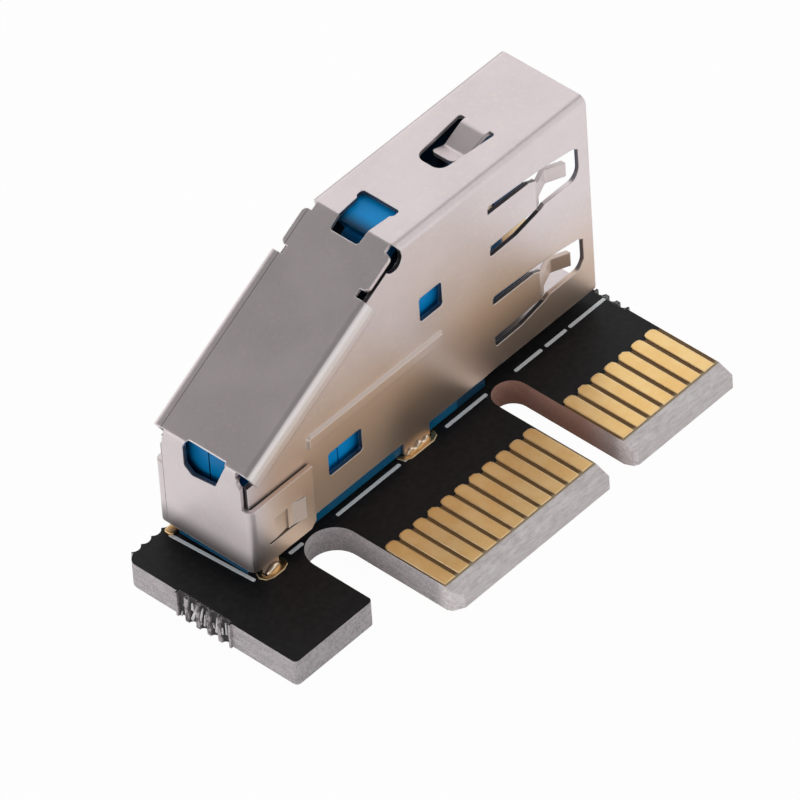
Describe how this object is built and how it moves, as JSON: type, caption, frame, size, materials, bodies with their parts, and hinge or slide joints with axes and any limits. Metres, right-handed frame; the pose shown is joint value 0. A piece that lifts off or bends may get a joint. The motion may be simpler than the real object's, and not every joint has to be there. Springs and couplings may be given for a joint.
{
  "type": "pcie riser card",
  "caption": "Small black edge card with gold contacts and a key slot, carrying a tall steel-shelled, blue-bodied plug socket that stands on its narrow side along the card's back edge.",
  "frame": {"origin": "middle of the key slot on the tip edge of the card, halfway through the board's thickness", "axes": "+X along the card edge from the key slot towards the socket mouth, +Y from the contact tips towards the socket, +Z from the board up through the socket"},
  "size_m": [0.0288, 0.0146, 0.0156],
  "materials": {
    "board": "black solder mask on glass fibre, a little glossy, with pale cut edges",
    "gold": "gold plating",
    "shell": "satin nickel-plated steel sheet",
    "insulator": "moulded blue plastic",
    "terminals": "gold-plated copper alloy",
    "lands": "copper-gold plating",
    "solder": "tin solder"
  },
  "bodies": {
    "root": {"circuit_board": "board", "front_edge_contacts": "gold", "back_edge_contacts": "gold", "receptacle_shell": "shell", "insulator_body": "insulator", "tail_guide": "insulator", "ground_terminal": "terminals", "data_plus_terminal": "terminals", "data_minus_terminal": "terminals", "power_terminal": "terminals", "receive_minus_terminal": "terminals", "receive_plus_terminal": "terminals", "drain_terminal": "terminals", "transmit_minus_terminal": "terminals", "transmit_plus_terminal": "terminals", "leg_lands": "lands", "pin_lands": "lands", "leg_solder": "solder", "pin_solder": "solder"}
  },
  "joints": []
}
